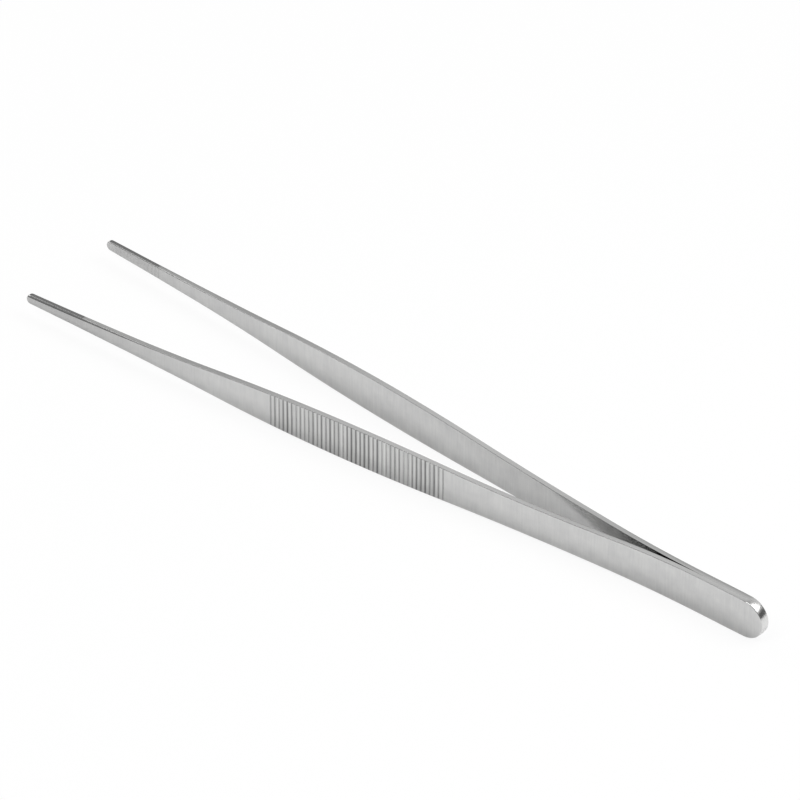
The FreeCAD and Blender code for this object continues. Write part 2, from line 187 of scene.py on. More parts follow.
class ArmSizes(bpy.types.PropertyGroup):
    length: size_property("Overall length", "From the heel end to the tips", OVERALL_LENGTH)
    width: size_property("Strip width", "Height of an arm at its heel and at its grip", STRIP_WIDTH)
    thickness: size_property("Steel thickness", "Of an arm at its heel", 1.75 * MM)
    waist_cut: size_property("Waist cut", "How much each edge draws in at the waist", 1.05 * MM)
    waist_station: size_property("Waist station", "From the heel end to the waist", 82 * MM)
    grip_station: size_property("Grip station", "From the heel end to the middle of the grip", 144.5 * MM)
    jaw_length: size_property("Jaw length", "Straight taper of each jaw", 36 * MM)
    neck_width: size_property("Neck width", "Height of an arm where its jaw starts", 4.9 * MM)
    tip_width: size_property("Tip width", "Height of an arm at its tip round", 3.2 * MM)
    closed_run: size_property("Closed run", "Length at the heel where the arms lie together", 21 * MM)
    spread_radius: size_property("Spread radius", "Of the bend that parts the arms", 330 * MM)
    spread_angle: FloatProperty(
        name="Spread angle", description="Turned by that bend", default=math.radians(5.9), subtype="ANGLE")
    inner_bow: size_property("Inner bow radius", "Of the inner face past the bend", 3600 * MM)
    outer_bow: size_property("Outer bow radius", "Of the outer face past the bend", 3840 * MM)
    outer_round: size_property("Outer edge round", "Radius of the outer face's edges", 0.16 * MM)
    inner_round: size_property("Inner edge round", "Radius of the inner face's edges", 0.1 * MM)
    jaw_round: size_property("Jaw edge round", "Of the jaws' ground edges, across the strip", 1.05 * MM)
    crown: size_property("Crown", "Fall of the outer face from its middle to its edges", 0.1 * MM)
    heel_crown: size_property("Heel crown", "Fall of the heel's narrow edges to the outer faces", 0.08 * MM)
    bend_start: size_property("Flex start", "From the heel end to where an arm starts to flex", 40 * MM)
    bend_end: size_property("Flex end", "From the heel end to where an arm stops flexing", 120 * MM)


class GripSizes(bpy.types.PropertyGroup):
    ribs: IntProperty(name="Grooves", description="Grooves across each grip", default=41, min=1)
    rib_pitch: size_property("Groove pitch", "From groove to groove on the grip", 1.57 * MM)
    rib_opening: size_property("Groove opening", "Width of a groove at the surface", 0.96 * MM)
    rib_depth: size_property("Groove depth", "Of a groove on the grip", 0.36 * MM)
    teeth: IntProperty(name="Notches", description="Fine notches on each jaw", default=36, min=1)
    tooth_pitch: size_property("Notch pitch", "From notch to notch on a jaw", 0.6 * MM)
    tooth_opening: size_property("Notch opening", "Width of a notch at the surface", 0.45 * MM)
    tooth_depth: size_property("Notch depth", "Of a notch on a jaw", 0.18 * MM)
    tooth_setback: size_property("Notch setback", "From the tip to the first notch", 1.2 * MM)


class WeldSizes(bpy.types.PropertyGroup):
    throat: size_property("Weld throat", "Depth of the weld bead", 0.5 * MM)
    half_width: size_property("Weld half width", "Half the width of the bead", 0.45 * MM)
    ripple: size_property("Ripple", "Height of the ripples left by the torch", 0.012 * MM)
    ripple_pitch: size_property("Ripple pitch", "From ripple to ripple along the bead", 0.9 * MM)


class FinishColours(bpy.types.PropertyGroup):
    steel: colour_property("Steel", "Satin stainless steel", "#CECECD")
    steel_dull: colour_property("Dull steel", "Steel between the grinding lines", "#C2C2C2")
    # This colour brightens edges, partly as real rubbing and partly as a painted highlight, and paints
    # highlights on the grip's lips.
    steel_worn_and_sheen: colour_property("Worn steel", "Edges and lips brightened by use", "#E6E6E5")
    # This colour is painted shade in the grooves, the notches and on the jaws.
    painted_shade: colour_property("Grime", "In grooves and notches, and the skin on the jaws", "#272729")
    weld: colour_property("Weld", "Ground weld metal", "#B9B7B4")
    weld_dull: colour_property("Dull weld", "Weld metal between its grinding marks", "#A9A7A4")
    floor: colour_property("Floor", "Studio floor", "#F2F2F2")


class TweezersSettings(bpy.types.PropertyGroup):
    arm: PointerProperty(type=ArmSizes)
    grip: PointerProperty(type=GripSizes)
    weld: PointerProperty(type=WeldSizes)
    finish: PointerProperty(type=FinishColours)


# The shape of an arm.

def two_arcs(u, u0, h0, u1, h1, end_slope=0.0):
    """Height between two stations on two arcs of one radius: level at the first, at end_slope at the second.

    The arcs touch half way between their centres. With run D, fall F, and s and c the sine and cosine of
    the end angle, their radius solves R*R*(2c - 2) + 2R*(D*s - F*(1 + c)) + D*D + F*F = 0.
    """
    run, fall = u1 - u0, abs(h1 - h0)
    sign = 1.0 if h1 < h0 else -1.0
    s, c = math.sin(end_slope), math.cos(end_slope)
    a, b, k = 2 * c - 2, 2 * (run * s - fall * (1 + c)), run * run + fall * fall
    radius = -k / b if abs(a) < 1e-12 else (-b - math.sqrt(b * b - 4 * a * k)) / (2 * a)
    middle = u0 + (run + radius * s) / 2
    first = radius - np.sqrt(np.maximum(radius ** 2 - (u - u0) ** 2, 0))
    last = fall - radius * c + np.sqrt(np.maximum(radius ** 2 - (u - u1 - radius * s) ** 2, 0))
    return h0 - sign * np.where(u < middle, first, last)


def jaw_angle(arm):
    """Angle of the jaw's edge line, which starts at the neck and touches the tip's round."""
    tip, neck = arm.tip_width / 2, arm.neck_width / 2
    run = arm.jaw_length - tip
    return math.acos(tip / math.hypot(neck, run)) - math.atan2(run, neck)


def half_height(arm, u):
    """Half the height of an arm at stations u: level at the heel, drawn in at the waist on two arcs, full
    again at the grip, down to the neck on two more, then the jaw's straight line."""
    full, waist = arm.width / 2, arm.width / 2 - arm.waist_cut
    neck, neck_at, slope = arm.neck_width / 2, arm.length - arm.jaw_length, jaw_angle(arm)
    pieces = [
        two_arcs(u, arm.closed_run, full, arm.waist_station, waist),
        two_arcs(u, arm.waist_station, waist, arm.grip_station, full),
        two_arcs(u, arm.grip_station, full, neck_at, neck, slope),
    ]
    where = [u <= arm.closed_run, u <= arm.waist_station, u <= arm.grip_station, u <= neck_at]
    return np.select(where, [np.full_like(u, full), *pieces], neck - (u - neck_at) * math.tan(slope))


def face_line(arm, u, offset, bow_radius):
    """How far an arm's face stands from the middle plane at stations u: level where the arms lie together,
    then the circle of the parting bend, then the circle of the long bow that touches it. offset is the
    face's depth at the heel."""
    bend, angle = arm.spread_radius, arm.spread_angle
    radius = bend - offset
    bend_end = arm.closed_run + radius * math.sin(angle)
    reach = bow_radius + radius
    bow_u, bow_y = arm.closed_run + reach * math.sin(angle), -bend + reach * math.cos(angle)
    on_bend = -bend + np.sqrt(np.maximum(radius ** 2 - (u - arm.closed_run) ** 2, 0))
    on_bow = bow_y - np.sqrt(np.maximum(bow_radius ** 2 - (u - bow_u) ** 2, 0))
    return np.select([u <= arm.closed_run, u <= bend_end], [np.full_like(u, -offset), on_bend], on_bow)


def grooves(u, first, pitch, count, opening, depth, wobble):
    """Depth of a row of V grooves at stations u: the depth times one less the distance from a groove's middle
    over half its opening. A groove's root is rounded, because the distance is taken as the square root of
    its square plus the blend's square. wobble is each groove's share of the depth."""
    index = np.clip(np.round((u - first) / pitch), 0, count - 1).astype(int)
    away = np.abs(u - first - index * pitch) / (opening / 2)
    near = np.sqrt(away ** 2 + ROOT_BLEND ** 2) - ROOT_BLEND * ROOT_KEPT
    return depth * wobble[index] * np.clip(1 - near, 0, 1)


def stations(arm, grip):
    """Stations of the rows between the two round ends: close together at the grooves and notches."""
    heel, tip = arm.width / 2, arm.length - arm.tip_width / 2 * (1 - math.sin(jaw_angle(arm)))
    rib_run = grip.rib_pitch * grip.ribs
    ribs = arm.grip_station - rib_run / 2, arm.grip_station + rib_run / 2
    teeth = arm.length - grip.tooth_setback - grip.tooth_pitch * (grip.teeth - 0.5)
    parts = [
        np.linspace(heel, ribs[0], int((ribs[0] - heel) / PLAIN_ROW), endpoint=False),
        np.linspace(ribs[0], ribs[1], grip.ribs * RIB_ROWS, endpoint=False),
        np.linspace(ribs[1], teeth, int((teeth - ribs[1]) / PLAIN_ROW), endpoint=False),
        np.arange(teeth, tip, grip.tooth_pitch / TOOTH_ROWS),
    ]
    return np.append(np.concatenate(parts)[1:-1], tip)


def outline(arm, grip):
    """The upper half of an arm's side outline, heel to tip, and the centre-line point that each place looks
    to: a quarter circle at the heel, half_height along the arm, and the tip's round from where the jaw
    touches it."""
    heel, tip, slope = arm.width / 2, arm.tip_width / 2, jaw_angle(arm)
    tip_at = arm.length - tip
    turn = np.linspace(0, math.pi / 2, END_ROWS)
    back = np.linspace(math.pi / 2 - slope, 0, END_ROWS)[1:]
    u = stations(arm, grip)
    edge_u = np.concatenate([heel - heel * np.cos(turn), u, tip_at + tip * np.cos(back)])
    edge_h = np.concatenate([heel * np.sin(turn), half_height(arm, u), tip * np.sin(back)])
    centre = np.clip(edge_u, heel, tip_at)
    return edge_u, edge_h, centre


def section():
    """The half section, outer middle to inner middle, as columns: share of the way in from the edge, inset in
    outer rounds, fall in outer rounds, crown's share, share through the thickness, inset and fall in inner
    rounds. A round is a quarter circle in its own sizes: an inset of one less the sine and a fall of one less
    the cosine. edge_rounds makes it a quarter of an ellipse where it is wider than it is deep."""
    quarter = np.linspace(0, math.pi / 2, ROUND_COLUMNS + 1)[1:]
    columns = [(s, 1, 0, (1 - s) ** 2, 0, 0, 0) for s in FACE_SHARES]
    columns += [(0, 1 - math.sin(q), 1 - math.cos(q), 1, 0, 0, 0) for q in quarter]
    columns += [(0, 0, 1, 1, t, 0, 1) for t in SIDE_SHARES]
    columns += [(0, 0, 0, 0, 1, 1 - math.sin(q), 1 - math.cos(q)) for q in quarter[::-1]]
    columns += [(s, 0, 0, 0, 1, 1, 0) for s in FACE_SHARES[::-1]]
    return np.array(columns).T


def edge_rounds(arm, edge_u):
    """Sizes of the edge rounds along the arm, as columns: the outer round across the strip and into its
    thickness, then the inner round. They change evenly between the stations listed. The outer round is soft
    at the heel's end and crisp where the arms lie together, the inner one is all but sharp up to there, and
    both are widest on the jaws, whose ground edges are rounder across the strip than they are deep."""
    neck = arm.length - arm.jaw_length
    at = [0, arm.width / 4, arm.width * 0.7, arm.closed_run, 2 * arm.closed_run, neck - 15 * MM,
          neck + 18 * MM]
    outer = [arm.outer_round * share for share in (2, 2, 0.4, 0.4, 1, 1)]
    inner = [arm.inner_round * share for share in (0.1, 0.1, 0.1, 0.1, 1, 1)]
    across = np.interp(edge_u, at, [*outer, arm.jaw_round])
    into = np.interp(edge_u, at, [*outer, arm.jaw_round * JAW_ROUND_DEEP])
    inside = np.interp(edge_u, at, [*inner, arm.jaw_round * JAW_ROUND_INSIDE])
    return across[:, None], into[:, None], inside[:, None]


def row_starts(arm, grip):
    """Stations of the middles of the first groove on the grip and of the first notch on the jaw."""
    rib_first = arm.grip_station - grip.rib_pitch * (grip.ribs - 1) / 2
    return rib_first, arm.length - grip.tooth_setback - grip.tooth_pitch * (grip.teeth - 1)


def arm_surface(arm, grip, side):
    """Points of the upper half of an arm's surface, on a grid of rows along it and columns round its section,
    and what each point knows of the strip: its straightened place, how much its edges are rubbed bright,
    partly a painted highlight, with painted highlights on the grip's lips, and how much painted shade it
    carries in the grooves, in the notches and on the jaws.

    A point is the outline's point moved in towards the centre line by its inset, and by its share of what is
    left of the way. It lies between the outer face line and the inner one, lowered by the crown, the edge
    rounds, the grooves and the notches. side is -1 for the near arm and 1 for the far.
    """
    rng = np.random.default_rng(NEAR_SEED if side < 0 else FAR_SEED)
    edge_u, edge_h, centre = outline(arm, grip)
    share, outer_in, outer_down, crowned, through, inner_in, inner_down = section()
    across, into, inside = edge_rounds(arm, edge_u)
    # The heel's crown is full where the arms lie together, and fades out over twice that length.
    heel_crown = arm.heel_crown * np.clip(1.5 - 0.5 * centre / arm.closed_run, 0, 1)[:, None]
    inset = outer_in * across + inner_in * inside + heel_crown * (1 - through) ** 2
    outer_fall = outer_down * into + crowned * arm.crown
    inner_fall = inner_down * inside
    away = np.hypot(edge_u - centre, edge_h)[:, None]
    keep = np.maximum(1 - (inset + share * np.maximum(away - inset, 0)) / away, 0)
    u = centre[:, None] + (edge_u - centre)[:, None] * keep
    h = edge_h[:, None] * keep
    rib_first, tooth_first = row_starts(arm, grip)
    rib_wobble = 1 - RIB_UNEVEN * rng.uniform(0, 1, grip.ribs)
    tooth_wobble = 1 + TOOTH_UNEVEN * rng.standard_normal(grip.teeth).clip(-1, 1)
    rib = grooves(u, rib_first, grip.rib_pitch, grip.ribs, grip.rib_opening, grip.rib_depth, rib_wobble)
    rib = rib * (1 - RIB_RUN_OUT * outer_down)
    tooth = grooves(u, tooth_first, grip.tooth_pitch, grip.teeth, grip.tooth_opening,
                    grip.tooth_depth * (1 - TOOTH_UNEVEN), tooth_wobble)
    outer = face_line(arm, u, arm.thickness, arm.outer_bow)
    inner = face_line(arm, u, 0.0, arm.inner_bow)
    outer_face = outer + np.maximum(outer_fall, rib)
    inner_face = inner - np.maximum(inner_fall, tooth)
    y = outer_face + through * (inner_face - outer_face)
    wear_and_painted_light = arm_wear_and_painted_light(arm, grip, rng, u, rib, tooth)
    half = np.stack([HEEL_END - u, y * -side, h], -1)
    facts = np.stack([u, y - outer, h, *wear_and_painted_light], -1)
    return half, facts


def arm_wear_and_painted_light(arm, grip, rng, u, rib, tooth):
    """How much each point of an arm's grid is rubbed bright, partly a painted highlight, with painted
    highlights on the grip's lips, how much painted shade it carries in the grooves, the notches and on the
    lands, and how much painted shade it carries on the jaws and the faces near them, from its station, its
    depth in a groove or a notch, and its column of the section."""
    _, _, outer_down, _, through, _, inner_down = section()
    rib_first, tooth_first = row_starts(arm, grip)

    # Edges are rubbed bright, partly a painted highlight, and the tipward lip of each groove of the grip
    # carries a painted highlight, each one differently.
    on_edge = np.clip(outer_down + inner_down, 0, 1)
    on_outer = through < 0.5
    rib_index = np.clip(np.round((u - rib_first) / grip.rib_pitch), 0, grip.ribs - 1).astype(int)
    share_deep = rib / grip.rib_depth
    tipward = rib_first + rib_index * grip.rib_pitch < u
    lip = np.clip(share_deep / LIP_LOW, 0, 1) * np.clip(2 - share_deep / LIP_HIGH, 0, 1) * tipward
    lip_sheen = lip * on_outer * LIP_SHEEN * rng.uniform(0, 1, grip.ribs)[rib_index]
    wear_and_sheen = np.minimum(np.maximum(on_edge, lip_sheen), 1)

    # Painted shade darkens the grooves' roots, from about an eighth of their depth down, and the notches. A
    # fainter painted shade lies on the lands of the grip, which end at a twelfth of that depth.
    painted_shade = rng.uniform(*ROOT_SHADE, grip.ribs)[rib_index]
    land_shade_share = rng.uniform(*LAND_SHADE, grip.ribs)[rib_index]
    gripped = (np.abs(u - arm.grip_station) < grip.rib_pitch * grip.ribs / 2) & on_outer & (outer_down == 0)
    land = gripped * np.clip(1 - share_deep * 12, 0, 1) * land_shade_share
    root = np.clip(share_deep * 3 - 0.4, 0, 1) * painted_shade * (1 - outer_down)
    deep = np.where(on_outer, np.maximum(land, root), tooth / grip.tooth_depth * NOTCH_SHADE)

    # Painted shade darkens the jaws' ground edges, and a fainter painted shade darkens the faces from half
    # way to the jaws.
    jaw = np.clip((u - (tooth_first - grip.tooth_pitch)) / JAW_FADE, 0, 1)
    face_shade = np.clip((u - arm.grip_station) / (tooth_first - arm.grip_station) * 2 - 1, 0, 1)
    jaw_shade = np.maximum(jaw * on_edge, face_shade * np.where(on_outer, FACE_SHADE_OUTSIDE, FACE_SHADE_INSIDE))
    return wear_and_sheen, deep, jaw_shade


def loop_faces(rows, columns):
    """Quads between closed loops of points: two neighbours on a loop and their partners on the next loop."""
    i, j = np.meshgrid(np.arange(rows - 1), np.arange(columns), indexing="ij")
    a, b = i * columns + j, i * columns + (j + 1) % columns
    return np.stack([a, b, b + columns, a + columns], -1).reshape(-1, 4).tolist()


def closed_grid(half, facts, middle_z):
    """Joins the half section and its mirror below into loops round the arm, and the loops into quads. Returns
    points, facts and faces. The ends' poles and seams are merged afterwards."""
    below = half[:, -2:0:-1] * [1, 1, -1]
    below_facts = facts[:, -2:0:-1] * [1, 1, -1, 1, 1, 1]
    points = np.concatenate([half, below], 1) + [0, 0, middle_z]
    facts = np.concatenate([facts, below_facts], 1)
    rows, columns = points.shape[:2]
    return points.reshape(-1, 3), facts.reshape(rows * columns, -1), loop_faces(rows, columns)


def make_piece(name, points, faces, facts=None):
    """A piece with a smooth closed mesh. facts, if given, are a place and the FACTS of each point."""
    mesh = bpy.data.meshes.new(name)
    mesh.from_pydata(points.tolist(), [], faces)
    if facts is not None:
        place = mesh.attributes.new("straightened", "FLOAT_VECTOR", "POINT")
        place.data.foreach_set("vector", np.ascontiguousarray(facts[:, :3], np.float32).ravel())
        for column, fact in enumerate(FACTS, 3):
            layer = mesh.attributes.new(fact, "FLOAT", "POINT")
            layer.data.foreach_set("value", np.ascontiguousarray(facts[:, column], np.float32))
    close_mesh(mesh)
    piece = bpy.data.objects.new(name, mesh)
    bpy.context.scene.collection.objects.link(piece)
    return piece


def close_mesh(mesh):
    """Merges doubles, turns the faces outwards and smooths them. A mesh that isn't closed is an error."""
    work = bmesh.new()
    work.from_mesh(mesh)
    bmesh.ops.remove_doubles(work, verts=work.verts, dist=DOUBLES)
    bmesh.ops.dissolve_degenerate(work, dist=SLIVERS, edges=work.edges)
    bmesh.ops.recalc_face_normals(work, faces=work.faces)
    open_edges = sum(1 for e in work.edges if len(e.link_faces) != 2)
    work.to_mesh(mesh)
    work.free()
    if open_edges:
        raise RuntimeError(f"{mesh.name} has {open_edges} edges that don't join two faces")
    mesh.polygons.foreach_set("use_smooth", np.ones(len(mesh.polygons), bool))
    mesh.update()


def weld_surface(arm, weld):
    """The weld bead: a strip over the seam on the heel's half circle, from its top to its bottom.

    The angle round the heel is one parameter and the angle round the bead's own section the other. The
    section is a flat oval as wide as the bead, whose outer side is crowned by a few hundredths of a
    millimetre and carries ripples, a raised cosine along the bead. The bead thins out past the half circle
    as the square root of what is left of it, and two caps close its ends.
    """
    last = math.pi / 2 + WELD_PAST
    turn = np.linspace(-last, last, WELD_ROWS)[:, None]
    around = np.linspace(0, 2 * math.pi, WELD_COLUMNS, endpoint=False)[None, :]
    radius = arm.width / 2
    out, across = np.cos(around), np.sin(around)
    taper = np.sqrt(np.clip((last - np.abs(turn)) / WELD_PAST, 0, 1))
    wave = np.cos(turn * radius / weld.ripple_pitch * 2 * math.pi + WELD_SWEEP * across ** 2)
    top = radius - WELD_SUNK - weld.ripple * (1 - wave) - WELD_CROWN * across ** 2
    reach = top - weld.throat * (1 - out) / 2 * taper
    x = HEEL_END - radius + reach * np.cos(turn)
    y = weld.half_width * across * (WELD_END_WIDTH + (1 - WELD_END_WIDTH) * taper)
    z = STRIP_WIDTH / 2 + reach * np.sin(turn)
    points = np.stack([x, y, z], -1).reshape(-1, 3)
    first_loop = list(range(WELD_COLUMNS))
    last_loop = list(range(len(points) - WELD_COLUMNS, len(points)))
    return points, loop_faces(WELD_ROWS, WELD_COLUMNS) + [first_loop, last_loop[::-1]]


# Finishes.

def add_node(tree, kind, settings=None, links=None, stops=()):
    """Adds a node, sets its settings and sockets by name, and links its inputs from other nodes' outputs.
    stops are the places and linear colours of a ramp."""
    node = tree.nodes.new(kind)
    for key, value in (settings or {}).items():
        if isinstance(key, str) and hasattr(node, key):
            setattr(node, key, value)
        else:
            node.inputs[key].default_value = value
    for key, source in (links or {}).items():
        tree.links.new(source, node.inputs[key])
    for _ in stops[2:]:
        node.color_ramp.elements.new(0.5)
    for index, (place, colour) in enumerate(stops):
        node.color_ramp.elements[index].position = place
        node.color_ramp.elements[index].color = (*colour, 1.0)
    return node


def new_finish(name):
    """An empty node material with its output, ready for nodes."""
    finish = bpy.data.materials.new(name)
    finish.use_nodes = True
    finish.node_tree.nodes.clear()
    output = finish.node_tree.nodes.new("ShaderNodeOutputMaterial")
    return finish, finish.node_tree, output


def satin_steel(colours):
    """Stainless steel sheet, ground across its length with a fine belt and then lightly blasted: a soft,
    slightly streaky satin that still mirrors broad light and dark, with edges that handling and tumbling have
    brightened, partly as a painted highlight, painted highlights on the grip's lips, and painted shade in the
    grooves, the notches and on the jaws."""
    finish, tree, output = new_finish("satin_stainless_steel")
    place = add_node(tree, "ShaderNodeAttribute", {"attribute_name": "straightened"})
    # These attributes carry rubbed edges with a painted highlight, painted shade in the grooves, and painted
    # shade on the jaws.
    wear_and_sheen = add_node(tree, "ShaderNodeAttribute", {"attribute_name": "edge_wear_and_highlight"})
    deep = add_node(tree, "ShaderNodeAttribute", {"attribute_name": "painted_groove_shade"})
    ground = add_node(tree, "ShaderNodeAttribute", {"attribute_name": "painted_jaw_shade"})
    # Belt lines run across the strip and are about 0.1 mm wide, too fine to show: here they are 0.6 mm wide.
    lines_at = add_node(tree, "ShaderNodeMapping", {"Scale": (1 / (0.6 * MM), 1 / (9 * MM), 1 / (9 * MM))},
                        {"Vector": place.outputs["Vector"]})
    lines = add_node(tree, "ShaderNodeTexNoise", {"Scale": 1.0, "Detail": 2.0, "Roughness": 0.6},
                     {"Vector": lines_at.outputs["Vector"]})
    # Blasting leaves soft clouds 3 to 6 mm across.
    clouds_at = add_node(tree, "ShaderNodeMapping", {"Scale": (1 / (5 * MM), 1 / (4 * MM), 1 / (3.5 * MM))},
                         {"Vector": place.outputs["Vector"]})
    clouds = add_node(tree, "ShaderNodeTexNoise", {"Scale": 1.0, "Detail": 3.0, "Roughness": 0.5},
                      {"Vector": clouds_at.outputs["Vector"]})
    both = add_node(tree, "ShaderNodeMix", {"data_type": "FLOAT", "Factor": 0.5},
                    {"A": lines.outputs["Fac"], "B": clouds.outputs["Fac"]})
    tint = add_node(tree, "ShaderNodeValToRGB", {}, {"Fac": both.outputs["Result"]},
                    [(0.35, colours.steel_dull), (0.65, colours.steel)])
    # Edges are brighter, partly from use and partly as a painted highlight, and the grip's lips carry a
    # painted highlight. That brightening, the painted shade in the grooves and the painted shade on the jaws
    # are taken at 0.7, 0.5 and 0.6 of what a point knows.
    bright = add_node(tree, "ShaderNodeMath", {"operation": "MULTIPLY", 1: 0.7}, {0: wear_and_sheen.outputs["Fac"]})
    with_sheen = add_node(tree, "ShaderNodeMix", {"data_type": "RGBA", MIX_B: (*colours.steel_worn_and_sheen, 1)},
                        {"Factor": bright.outputs["Value"], MIX_A: tint.outputs["Color"]})
    # Painted shade darkens the grooves' roots, the notches and the lands, and the jaws' narrow edges and the
    # faces near the jaws.
    dark = add_node(tree, "ShaderNodeMath", {"operation": "MULTIPLY", 1: 0.5}, {0: deep.outputs["Fac"]})
    jaw_shade = add_node(tree, "ShaderNodeMath", {"operation": "MULTIPLY", 1: 0.6}, {0: ground.outputs["Fac"]})
    shade = add_node(tree, "ShaderNodeMath", {"operation": "MAXIMUM"},
                     {0: dark.outputs["Value"], 1: jaw_shade.outputs["Value"]})
    colour = add_node(tree, "ShaderNodeMix", {"data_type": "RGBA", MIX_B: (*colours.painted_shade, 1)},
                      {"Factor": shade.outputs["Value"], MIX_A: with_sheen.outputs[MIX_RESULT]})
    rough = add_node(tree, "ShaderNodeMapRange",
                     {"From Min": 0.3, "From Max": 0.7, "To Min": 0.11, "To Max": 0.17},
                     {"Value": clouds.outputs["Fac"]})
    # Edges eased by hand with a fine abrasive are brighter, partly by a painted highlight, but a little
    # rougher than the faces, and more so at the heel's round end.
    along = add_node(tree, "ShaderNodeSeparateXYZ", {}, {"Vector": place.outputs["Vector"]})
    end = add_node(tree, "ShaderNodeMapRange",
                   {"From Min": 4 * MM, "From Max": 12 * MM, "To Min": 0.12, "To Max": 0.07},
                   {"Value": along.outputs["X"]})
    eased = add_node(tree, "ShaderNodeMath", {"operation": "MULTIPLY"},
                     {0: wear_and_sheen.outputs["Fac"], 1: end.outputs["Result"]})
    final_rough = add_node(tree, "ShaderNodeMath", {"operation": "ADD"},
                           {0: rough.outputs["Result"], 1: eased.outputs["Value"]})
    bump = add_node(tree, "ShaderNodeBump", {"Strength": 1.0, "Distance": 0.0025 * MM},
                    {"Height": lines.outputs["Fac"]})
    shader = add_node(tree, "ShaderNodeBsdfPrincipled", {"Metallic": 1.0},
                      {"Base Color": colour.outputs[MIX_RESULT], "Roughness": final_rough.outputs["Value"],
                       "Normal": bump.outputs["Normal"]})
    tree.links.new(shader.outputs["BSDF"], output.inputs["Surface"])
    return finish


def weld_steel(colours):
    """Stainless weld metal, ground back flush: a little warmer, darker and duller than the strip, with the
    faint unevenness that grinding leaves."""
    finish, tree, output = new_finish("ground_weld_steel")
    place = add_node(tree, "ShaderNodeTexCoord")
    # Grinding marks 0.4 mm apart.
    marks = add_node(tree, "ShaderNodeTexNoise", {"Scale": 1 / (0.4 * MM), "Detail": 2.0},
                     {"Vector": place.outputs["Object"]})
    tint = add_node(tree, "ShaderNodeValToRGB", {}, {"Fac": marks.outputs["Fac"]},
                    [(0.3, colours.weld_dull), (0.7, colours.weld)])
    rough = add_node(tree, "ShaderNodeMapRange", {"To Min": 0.2, "To Max": 0.34},
                     {"Value": marks.outputs["Fac"]})
    bump = add_node(tree, "ShaderNodeBump", {"Strength": 1.0, "Distance": 0.004 * MM},
                    {"Height": marks.outputs["Fac"]})
    shader = add_node(tree, "ShaderNodeBsdfPrincipled", {"Metallic": 1.0},
                      {"Base Color": tint.outputs["Color"], "Roughness": rough.outputs["Result"],
                       "Normal": bump.outputs["Normal"]})
    tree.links.new(shader.outputs["BSDF"], output.inputs["Surface"])
    return finish


def studio_floor(colours):
    """Matt white seamless paper. Seen by the camera or in glass it is white, but for a share of the true
    lit paper, which keeps the shadow; steel mirrors more of the lit paper."""
    finish, tree, output = new_finish("studio_paper")
    rays = add_node(tree, "ShaderNodeLightPath")
    paper = add_node(tree, "ShaderNodeBsdfDiffuse", {"Color": (*colours.floor, 1.0)})
    white = add_node(tree, "ShaderNodeEmission", {"Color": (1, 1, 1, 1), "Strength": 1.0})
    seen = add_node(tree, "ShaderNodeMath", {"operation": "MAXIMUM"},
                    {0: rays.outputs["Is Camera Ray"], 1: rays.outputs["Is Transmission Ray"]})
    seen_share = add_node(tree, "ShaderNodeMath", {"operation": "MULTIPLY", 1: FLOOR_SEEN_WHITE},
                          {0: seen.outputs["Value"]})
    mirrored = add_node(tree, "ShaderNodeMath", {"operation": "MULTIPLY", 1: FLOOR_MIRRORED_WHITE},
                        {0: rays.outputs["Is Glossy Ray"]})
    share = add_node(tree, "ShaderNodeMath", {"operation": "ADD"},
                     {0: seen_share.outputs["Value"], 1: mirrored.outputs["Value"]})
    # Away from the tweezers the paper runs out of the light, and there it is plain white.
    place = add_node(tree, "ShaderNodeTexCoord")
    away = add_node(tree, "ShaderNodeVectorMath", {"operation": "LENGTH"}, {0: place.outputs["Object"]})
    fade = add_node(tree, "ShaderNodeMapRange", {"From Min": FLOOR_LIT[0], "From Max": FLOOR_LIT[1]},
                    {"Value": away.outputs["Value"]})
    faded = add_node(tree, "ShaderNodeMath", {"operation": "MULTIPLY"},
                     {0: fade.outputs["Result"], 1: seen.outputs["Value"]})
    total = add_node(tree, "ShaderNodeMath", {"operation": "MAXIMUM"},
                     {0: share.outputs["Value"], 1: faded.outputs["Value"]})
    look = add_node(tree, "ShaderNodeMixShader", {},
                    {"Fac": total.outputs["Value"], 1: paper.outputs["BSDF"], 2: white.outputs["Emission"]})
    tree.links.new(look.outputs["Shader"], output.inputs["Surface"])
    return finish


